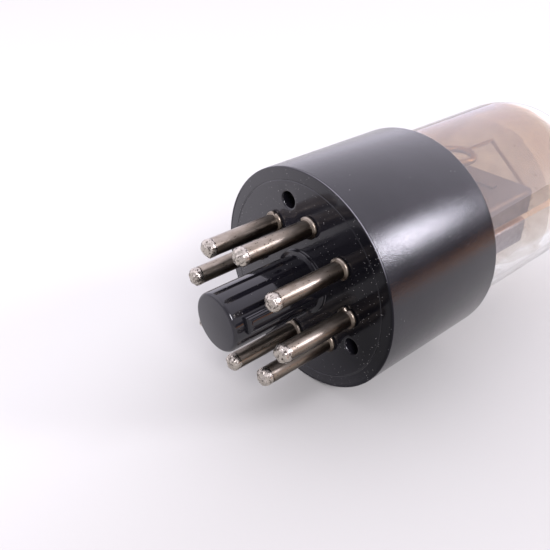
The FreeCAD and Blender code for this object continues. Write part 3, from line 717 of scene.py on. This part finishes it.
def film_depth(shader, where):
    """How dense the film is: 0 where there is none, about 1 where it is full."""
    cloud = shader.noise(5.0 * MM, 3.0, 0.55)
    patch = shader.noise(9.0 * MM, 2.0, 0.5)
    along = shader.math("MULTIPLY_ADD", (cloud, "Fac"), FILM_WANDER, (where, "X"))
    height = shader.math("MULTIPLY_ADD", (cloud, "Fac"), FILM_WANDER, (where, "Z"))
    limit = FILM_END + FILM_WANDER / 2
    end = shader.span(along, 0, limit, limit - FILM_FADE)
    above = shader.math("SUBTRACT", (where, "Z"), FILM_STEP_HEIGHT)
    raised = shader.math("MAXIMUM", (above, 0), 0.0)
    lean = shader.math("MULTIPLY_ADD", (raised, 0), -FILM_STEP_LEAN, (along, 0))
    dense = shader.span(lean, 0, FILM_STEP + FILM_WANDER, FILM_STEP)
    thicker = shader.span(where, "X", *FILM_THICKENS)
    base = shader.math("MULTIPLY_ADD", (thicker, "Result"), 0.4, 0.92)
    depth = shader.math("MULTIPLY_ADD", (dense, "Result"), 0.2, (base, 0))
    foot = FILM_FOOT + FILM_WANDER / 2
    brim = shader.span(height, 0, foot, foot + FILM_SOFT)
    upper = shader.span(where, "Z", FILM_FOOT, FILM_FULL)
    rising = shader.math("MULTIPLY_ADD", (upper, "Result"), 1.0, 0.22)
    side = shader.math("MULTIPLY", (brim, "Result"), (rising, 0))
    shape = shader.math("MULTIPLY", (end, "Result"), (side, 0))
    mottle = shader.node("MapRange", From_Min=0.3, From_Max=0.7, To_Min=0.8, To_Max=1.1)
    shader.link(patch, "Fac", mottle, "Value")
    cover = shader.math("MULTIPLY", (shape, 0), (depth, 0))
    return shader.math("MULTIPLY", (cover, 0), (mottle, "Result"))


def getter_material():
    """Thin getter film: brown to look through, milky to look at, fading out at an uneven edge."""
    shader = Shader("getter_film")
    where = axes(shader, "Object")
    weight = film_depth(shader, where)
    stain = shader.node("BsdfTransparent")
    tint = shader.mix((weight, 0), grey(1.0), FILM_TINT)
    tint.clamp_factor = False
    shader.link(tint, 2, stain, "Color")
    shader.set(Base_Color=FILM_MILK, Roughness=1.0, Specular_IOR_Level=0.0)
    crest = shader.span(where, "Z", *FILM_CREST)
    drop = FILM_CREST_SHEEN - FILM_SHEEN
    sheen = shader.math("MULTIPLY_ADD", (crest, "Result"), drop, FILM_SHEEN)
    share = shader.math("MULTIPLY", (weight, 0), (sheen, 0))
    shader.blend((share, 0), stain, shader.surface)
    return shader.material


def flag_material():
    """Dark felt-covered card with a warm wooden foot that is painted to glow, seen as a painted
    reflection in the gloss.
    """
    shader = Shader("dark_card")
    nap = shader.noise(1.5 * MM, 3.0, 0.6)
    felt = shader.ramp(nap, "Fac", 0.3, 0.7, FELT_DARK, FELT_PALE)
    where = axes(shader, "Object")
    foot = shader.span(where, "Z", FLOOR_HEIGHT + FLAG_FOOT * 1.2, FLOOR_HEIGHT + FLAG_FOOT)
    tone = shader.mix((foot, "Result"), (felt, "Color"), WOOD)
    shader.link(tone, 2, shader.surface, "Base Color")
    # Painted glow: the foot emits light though it is no lamp.
    glow = shader.mix((foot, "Result"), grey(0.0), FOOT_PAINTED_GLOW)
    shader.link(glow, 2, shader.surface, "Emission Color")
    shader.set(Roughness=0.9, Emission_Strength=1.0)
    return shader.material


def floor_material():
    """Pale matt paper, with painted shade making it a little darker in front of the tube than
    behind it.
    """
    shader = Shader("pale_floor")
    where = axes(shader, "Object")
    painted_shade_mask = shader.span(where, "Y", 30 * MM, -20 * MM)
    # Painted shade: the floor is darker towards the near side.
    tone = shader.mix((painted_shade_mask, "Result"), FLOOR_FAR, FLOOR_NEAR_PAINTED_SHADE)
    shader.link(tone, 2, shader.surface, "Base Color")
    shader.set(Roughness=0.7, Specular_IOR_Level=0.2)
    fibre = shader.noise(0.5 * MM, 3.0, 0.5)
    shader.bump([(fibre, "Fac", 0.01 * MM)])
    return shader.material


# ------------------------------------------------------------------ the base

def build_base_shell(material):
    """Moulded cup with its key post, ridge and vents, in one closed mesh that the pins stand in."""
    inner = SHELL_RADIUS - SHELL_WALL
    ring_inner = RING_RADIUS - RING_WIDTH
    profile = [(POST_END, 0.0)]
    profile += arc(POST_END + POST_EDGE, POST_RADIUS - POST_EDGE, POST_EDGE, 180, 90, 6)
    profile += [(-COLLAR_HEIGHT - 0.15 * MM, POST_RADIUS)]
    profile += arc(-COLLAR_HEIGHT + COLLAR_ROUND, COLLAR_RADIUS - COLLAR_ROUND, COLLAR_ROUND,
                   180, 90, 4)
    profile += [(-COLLAR_FOOT, COLLAR_RADIUS), (0.0, COLLAR_RADIUS + COLLAR_FOOT)]
    profile += [(0.0, ring_inner), (RING_DEPTH, ring_inner + RING_FLANK),
                (RING_DEPTH, RING_RADIUS - RING_FLANK), (0.0, RING_RADIUS)]
    profile += arc(EDGE_ROUND, SHELL_RADIUS - EDGE_ROUND, EDGE_ROUND, 180, 90, 8)
    profile += arc(SHELL_LENGTH - RIM_ROUND, SHELL_RADIUS - RIM_ROUND, RIM_ROUND, 90, 0, 6)
    inner_round = RIM_ROUND * 0.7
    profile += arc(SHELL_LENGTH - inner_round, inner + inner_round, inner_round, 0, -90, 4)
    profile += [(SHELL_FLOOR, inner), (SHELL_FLOOR, POST_BORE), (POST_END + POST_WALL, POST_BORE),
                (POST_END + POST_WALL, 0.0)]
    shell = lathe("base_shell_moulding", profile, SHELL_SIDES, closed=False)
    combine(shell, [ridge_block()], "UNION")
    combine(shell, [vent_cutter(*vent) for vent in VENTS], "DIFFERENCE")
    smooth(shell, degrees=28)
    install(shell, ["base_shell"], material)


def ridge_block():
    """The locating ridge, with rounded long edges and a rounded free end."""
    half = RIDGE_WIDTH / 2
    root = POST_RADIUS - 0.75 * MM
    low = (-RIDGE_LENGTH, -half, root)
    high = (0.05 * MM, half, RIDGE_REACH)
    block = boxed("ridge", low, high)
    bm = bmesh.new()
    bm.from_mesh(block.data)
    outer = [e for e in bm.edges if all(v.co.z > root + 0.1 * MM for v in e.verts)
             and any(v.co.x < -RIDGE_LENGTH / 2 for v in e.verts)]
    bmesh.ops.bevel(bm, geom=outer, offset=RIDGE_BEVEL, segments=5, affect="EDGES", profile=0.5)
    bm.to_mesh(block.data)
    bm.free()
    block.data.transform(Matrix.Rotation(KEY_TURN - math.pi / 2, 4, "X"))
    return block


def vent_cutter(reach, degrees):
    """A cutter for a vent hole, with a softly flared mouth at the seating face."""
    place = around_axis(reach, degrees)
    mouth = VENT_RADIUS + VENT_FLARE
    profile = [(-1.0 * MM, 0.0), (-1.0 * MM, mouth), (0.0, mouth)]
    profile += arc(VENT_FLARE, mouth, VENT_FLARE, 180, 270, 5)
    profile += [(SHELL_FLOOR + 1.0 * MM, VENT_RADIUS), (SHELL_FLOOR + 1.0 * MM, 0.0)]
    return lathe("vent_cutter", profile, VENT_SIDES, closed=False, centre=(place.y, place.z))


def pin_profile():
    """Half outline of a pin: bore, rounded tip, sleeve, rolled flange and the swaged end inside."""
    bulge = PIN_FLANGE_THICK / 2
    start = PIN_END + PIN_LIP
    length = -PIN_FLANGE_THICK - start
    profile = [(PIN_END + PIN_BORE_DEPTH, PIN_BORE), (PIN_END, PIN_BORE),
               (PIN_END, PIN_RADIUS - PIN_LIP)]
    profile += arc(start, PIN_RADIUS - PIN_LIP, PIN_LIP, 180, 90, 4)
    profile += [(start + length * ring / PIN_RINGS, PIN_RADIUS) for ring in range(1, PIN_RINGS)]
    profile += [(-PIN_FLANGE_THICK - 0.06 * MM, PIN_RADIUS)]
    profile += arc(-bulge, PIN_FLANGE - bulge, bulge, 170, 10, 8)
    profile += [(0.0, PIN_RADIUS + 0.02 * MM), (SHELL_FLOOR, PIN_RADIUS), (PIN_TOP, PIN_FLANGE),
                (PIN_TOP, PIN_SWAGE_BORE)]
    return profile


def build_pins(material):
    """Eight separate pins, each a little different."""
    profile = pin_profile()
    for number in PIN_NUMBERS:
        place = PIN_PLACES[number]
        pin = lathe(f"contact_pin_{number}", profile, PIN_SIDES, centre=(place.y, place.z))
        dent_pin(pin, place, random.Random(number))
        smooth(pin, degrees=50)
        install(pin, [f"pin_{number}"], material)


def random_place(draw):
    """A place of its own in the noise for a piece."""
    return Vector((draw.uniform(0, 50), draw.uniform(0, 50), draw.uniform(0, 50)))


def dent_pin(pin, place, draw):
    """Slight unevenness of a drawn sleeve, and a nick in the rolled flange."""
    seed = random_place(draw)
    nick_angle = draw.uniform(0, 2 * math.pi)
    for vert in pin.data.vertices:
        if vert.co.x > 0:
            continue
        out = Vector((0, vert.co.y - place.y, vert.co.z - place.z))
        if out.length < 0.9 * MM:
            continue
        push = noise.noise(vert.co / DENT_SIZE + seed) * DENT_DEPTH
        angle = math.atan2(out.z, out.y)
        gap = abs((angle - nick_angle + math.pi) % (2 * math.pi) - math.pi)
        if out.length > PIN_RADIUS + 0.03 * MM and gap < NICK_HALF_TURN:
            push -= NICK_DEPTH * (1 - gap / NICK_HALF_TURN) ** 0.5
        vert.co += out.normalized() * push


def solder_profile():
    """Half outline of a drop: its plug, its skin over the sleeve's end and its rounded cap."""
    height = PIN_END - TIP_END
    plug = PIN_END + SOLDER_PLUG
    seat = PIN_END + SOLDER_SEAT
    cover = PIN_END + SOLDER_COVER
    under = PIN_RADIUS - SOLDER_UNDER
    profile = [(plug, 0.0), (plug, SOLDER_PLUG_RADIUS), (seat, SOLDER_PLUG_RADIUS), (seat, under),
               (cover, under), (cover, PIN_RADIUS)]
    for step in range(1, 6):
        share = step / 6
        skin = SOLDER_SKIN * min(1.0, 2 * share)
        profile.append((PIN_END + SOLDER_COVER * (1 - share), PIN_RADIUS + skin))
    for ring in range(SOLDER_CAP_RINGS):
        angle = math.pi / 2 * ring / SOLDER_CAP_RINGS
        x = PIN_END - SOLDER_SEAT - height * math.sin(angle) ** 1.15
        profile.append((x, (PIN_RADIUS + SOLDER_SKIN) * math.cos(angle) ** 0.75))
    profile.append((PIN_END - height, 0.0))
    return profile


def spread_edge(vert, place, seed):
    """Let the solder's skin end in an uneven line round the pin."""
    out = Vector((0, vert.co.y - place.y, vert.co.z - place.z))
    reach = (vert.co.x - PIN_END) / SOLDER_COVER
    if out.length < PIN_RADIUS - 0.05 * MM or reach <= 0.05:
        return
    flow = noise.noise(out / FLOW_COARSE + seed) * 0.75 + noise.noise(out / FLOW_FINE + seed) * 0.25
    vert.co.x += flow * reach * SOLDER_FLOW


def lump_cap(vert, place, seed):
    """Push a point of the solder's cap in or out."""
    depth = min(1.0, (PIN_END - vert.co.x) / LUMP_START)
    shift = noise.noise(vert.co / LUMP_COARSE + seed) * LUMP_COARSE_HEIGHT
    shift += noise.noise(vert.co / LUMP_FINE + seed) * LUMP_FINE_HEIGHT
    out = Vector((vert.co.x - PIN_END, vert.co.y - place.y, vert.co.z - place.z)).normalized()
    vert.co += out * (shift - 0.05 * MM) * depth


def build_solder(material):
    """Lumpy drop of solder on the end of every pin, all one piece as the CAD node is."""
    profile = solder_profile()
    joined = bmesh.new()
    for number in PIN_NUMBERS:
        place = PIN_PLACES[number]
        tip = lathe("tip", profile, SOLDER_SIDES, closed=False, centre=(place.y, place.z))
        seed = random_place(random.Random(40 + number))
        for vert in tip.data.vertices:
            if vert.co.x > PIN_END - 0.01 * MM:
                spread_edge(vert, place, seed)
            else:
                lump_cap(vert, place, seed)
        joined.from_mesh(tip.data)
        bpy.data.objects.remove(tip)
    mesh = bpy.data.meshes.new("solder_drops")
    joined.to_mesh(mesh)
    joined.free()
    drops = new_object("solder_drops", mesh)
    smooth(drops, degrees=60)
    install(drops, ["solder_tips"], material)


# ------------------------------------------------------------------ the glass

def dome_profile(inset):
    """Half outline of the dome from the straight wall to the crown, inset from the outside."""
    reach = BULB_RADIUS - DOME_CORNER
    rise = math.sqrt((DOME_CROWN - DOME_CORNER) ** 2 - reach ** 2)
    crown_centre = BULB_TOP - DOME_CROWN
    lean = math.degrees(math.atan2(rise, reach))
    corner = arc(crown_centre + rise, reach, DOME_CORNER - inset, 90, 90 - lean, DOME_STEPS)
    crown = arc(crown_centre, 0.0, DOME_CROWN - inset, 90 - lean, 0, DOME_STEPS)
    return corner + crown[1:-1] + [(BULB_TOP - inset, 0.0)]


def build_bulb(material):
    """Blown envelope with an even wall, rounded in at its sealed lower end."""
    lip = 0.4 * MM
    turn = BULB_RADIUS - BULB_OPENING - lip
    outside = [(BULB_LOW, BULB_OPENING), (BULB_LOW, BULB_OPENING + lip)]
    outside += arc(BULB_LOW + turn, BULB_RADIUS - turn, turn, 180, 90, 8)[1:]
    outside += dome_profile(0.0)
    inside = list(reversed(dome_profile(GLASS_WALL)))
    inner_radius = BULB_RADIUS - GLASS_WALL
    inner_turn = inner_radius - BULB_OPENING
    inner_low = BULB_LOW + 1.0 * MM
    inside += arc(inner_low + inner_turn, inner_radius - inner_turn, inner_turn, 90, 180, 8)
    bulb = lathe("glass_bulb", outside, BULB_SIDES, closed=False)
    inner = lathe("glass_bulb_inside", inside, BULB_SIDES, closed=False)
    bm = bmesh.new()
    bm.from_mesh(bulb.data)
    bm.from_mesh(inner.data)
    bpy.data.objects.remove(inner)
    bmesh.ops.bridge_loops(bm, edges=[e for e in bm.edges if e.is_boundary])
    bmesh.ops.recalc_face_normals(bm, faces=bm.faces)
    bm.to_mesh(bulb.data)
    bm.free()
    smooth(bulb, degrees=40)
    install(bulb, ["bulb"], material)


def build_film(material):
    """The film as a thin closed skin on the inside of the glass, cut to the patch it covers."""
    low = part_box("getter_film")[0]
    inner = BULB_RADIUS - GLASS_WALL + 0.01 * MM
    outer = inner + FILM_SKIN

    def ring_point(radius, along, turn):
        x = low.x + (FILM_END - low.x) * along / FILM_STEPS_ALONG
        angle = -FILM_HALF_TURN + 2 * FILM_HALF_TURN * turn / FILM_STEPS_ROUND
        return Vector((x, radius * math.sin(angle), radius * math.cos(angle)))

    bm = bmesh.new()
    skins = []
    for radius in (outer, inner):
        rows = [[bm.verts.new(ring_point(radius, along, turn))
                 for turn in range(FILM_STEPS_ROUND + 1)]
                for along in range(FILM_STEPS_ALONG + 1)]
        skins.append(rows)
    for side, rows in enumerate(skins):
        for a, b in zip(rows, rows[1:]):
            for turn in range(FILM_STEPS_ROUND):
                corners = (a[turn], a[turn + 1], b[turn + 1], b[turn])
                if min(v.co.z for v in corners) > FILM_FOOT:
                    bm.faces.new(corners if side == 0 else corners[::-1])
    close_skins(bm, skins)
    loose = [v for v in bm.verts if not v.link_faces]
    bmesh.ops.delete(bm, geom=loose, context="VERTS")
    bmesh.ops.recalc_face_normals(bm, faces=bm.faces)
    mesh = bpy.data.meshes.new("getter_film_skin")
    bm.to_mesh(mesh)
    bm.free()
    film = new_object("getter_film_skin", mesh)
    smooth(film, degrees=60)
    install(film, ["getter_film"], material)


def close_skins(bm, skins):
    """Join the open edge of one skin to the same edge of the other."""
    twin = {}
    for outer_row, inner_row in zip(*skins):
        for a, b in zip(outer_row, inner_row):
            twin[a] = b
    rim = [edge for edge in bm.edges if len(edge.link_faces) == 1 and edge.verts[0] in twin]
    for edge in rim:
        a, b = edge.verts
        bm.faces.new((a, b, twin[b], twin[a]))


# ------------------------------------------------------------------ stage

def build_floor(material):
    mesh = bpy.data.meshes.new("floor")
    half = FLOOR_HALF_WIDTH
    signs = ((-1, -1), (1, -1), (1, 1), (-1, 1))
    corners = [(half * x, half * y, FLOOR_HEIGHT) for x, y in signs]
    mesh.from_pydata(corners, [], [(0, 1, 2, 3)])
    mesh.materials.append(material)
    floor = new_object("floor", mesh)


def build_camera():
    """The photograph's viewpoint."""
    data = bpy.data.cameras.new("camera")
    data.lens = CAMERA_LENS
    data.sensor_width = CAMERA_SENSOR
    data.clip_start = 1.0 * MM
    camera = bpy.data.objects.new("camera", data)
    camera.location = CAMERA_PLACE
    camera.rotation_euler = (math.radians(90 - CAMERA_TIP), 0.0, math.radians(CAMERA_TURN))
    bpy.context.scene.collection.objects.link(camera)
    bpy.context.scene.camera = camera


def aim(azimuth, elevation, distance):
    """A point seen from the tube in a direction, degrees from +X towards +Y and above level."""
    a = math.radians(azimuth)
    e = math.radians(elevation)
    return Vector((distance * math.cos(a) * math.cos(e), distance * math.sin(a) * math.cos(e),
                   distance * math.sin(e)))


def area_light(name, direction, distance, size, brightness, colour, shape):
    """A soft light that faces the tube; brightness 1 looks as bright as white paper."""
    place = aim(*direction, distance)
    data = bpy.data.lights.new(name, "AREA")
    data.shape = shape
    data.size, data.size_y = size
    filled = math.pi / 4 if shape == "ELLIPSE" else 1.0
    data.energy = brightness * math.pi * size[0] * size[1] * filled
    data.color = colour
    light = bpy.data.objects.new(name, data)
    light.location = place
    light.rotation_euler = (TUBE_MIDDLE - place).to_track_quat("-Z", "Y").to_euler()
    light.visible_camera = False
    bpy.context.scene.collection.objects.link(light)


def build_flag(material):
    """A low dark card beside the tube, seen only in the gloss below the window's reflection."""
    centre = aim(FLAG_AZIMUTH, 0, FLAG_DISTANCE)
    across = Vector((-centre.y, centre.x, 0)).normalized() * FLAG_HALF_WIDTH
    low = FLOOR_HEIGHT - 2 * MM
    high = FLAG_DISTANCE * math.tan(math.radians(FLAG_TOP))
    corners = [centre - across, centre + across]
    verts = [(c.x, c.y, z) for z in (low, high) for c in corners]
    mesh = bpy.data.meshes.new("flag")
    mesh.from_pydata(verts, [], [(0, 1, 3, 2)])
    mesh.materials.append(material)
    flag = new_object("flag", mesh)
    flag.visible_camera = False
    flag.visible_shadow = False
    flag.visible_diffuse = False
    flag.visible_transmission = False


def build_world():
    """A pale room: brightest high up behind the tube, dim on the near side."""
    world = bpy.data.worlds.new("studio")
    bpy.context.scene.world = world
    world.use_nodes = True
    tree = world.node_tree
    background = tree.nodes["Background"]
    coordinates = tree.nodes.new("ShaderNodeTexCoord")
    toward = tree.nodes.new("ShaderNodeVectorMath")
    toward.operation = "DOT_PRODUCT"
    toward.inputs[1].default_value = aim(*ROOM_BRIGHT, 1.0)
    ramp = tree.nodes.new("ShaderNodeValToRGB")
    ramp.color_ramp.interpolation = "EASE"
    ramp.color_ramp.elements[0].position = 0.0
    ramp.color_ramp.elements[0].color = (*ROOM_DIM, 1)
    ramp.color_ramp.elements[1].position = 1.0
    ramp.color_ramp.elements[1].color = (*ROOM_PALE, 1)
    scale = tree.nodes.new("ShaderNodeMapRange")
    scale.inputs["From Min"].default_value = ROOM_SPREAD[0]
    scale.inputs["From Max"].default_value = ROOM_SPREAD[1]
    tree.links.new(coordinates.outputs["Generated"], toward.inputs[0])
    tree.links.new(toward.outputs["Value"], scale.inputs["Value"])
    tree.links.new(scale.outputs["Result"], ramp.inputs["Fac"])
    tree.links.new(ramp.outputs["Color"], background.inputs["Color"])
    background.inputs["Strength"].default_value = ROOM_STRENGTH


def build_lights():
    for light in LIGHTS:
        area_light(*light)
    build_world()


# ------------------------------------------------------------------ the whole scene

def dress(nodes, material):
    """Give carried-over CAD nodes a material."""
    for name in nodes:
        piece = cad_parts[name]
        piece.data.materials.clear()
        piece.data.materials.append(material)


def main():
    build_base_shell(phenolic_material())
    build_pins(pin_material())
    build_solder(solder_material())
    glass = glass_material()
    build_bulb(glass)
    dress(["glass_stem", "exhaust_tube"], glass)
    nickel = metal_material("nickel", (0.62, 0.59, 0.56), (0.42, 0.39, 0.36), roughness=0.32)
    dark = metal_material("carbonised_metal", (0.26, 0.255, 0.3), (0.16, 0.155, 0.19),
                          roughness=0.42, metallic=0.8)
    copper = metal_material("copper_wire", (0.72, 0.42, 0.28), (0.45, 0.26, 0.17), roughness=0.35)
    oxide = metal_material("oxide_coat", (0.8, 0.79, 0.76), (0.7, 0.69, 0.66),
                           roughness=0.9, metallic=0.0)
    cement = metal_material("cement", (0.42, 0.3, 0.18), (0.28, 0.2, 0.12),
                            roughness=0.9, metallic=0.0)
    dress(["anode_1", "anode_2"], dark)
    dress(["lower_mica", "upper_mica"], mica_material())
    dress(["anode_1_rods", "anode_2_rods", "getter_ring", "getter_support", "cathode_tabs",
           "heater_links", "grid_1_winding", "grid_2_winding"], nickel)
    dress(["grid_1_rods", "grid_2_rods"] + [f"lead_{n}" for n in PIN_NUMBERS], copper)
    dress(["cathode_1", "cathode_2", "heater_1", "heater_2"], oxide)
    dress(["base_cement"], cement)
    build_film(getter_material())
    build_floor(floor_material())
    build_camera()
    build_lights()
    build_flag(flag_material())
    scene = bpy.context.scene
    scene.view_settings.view_transform = "Standard"


main()
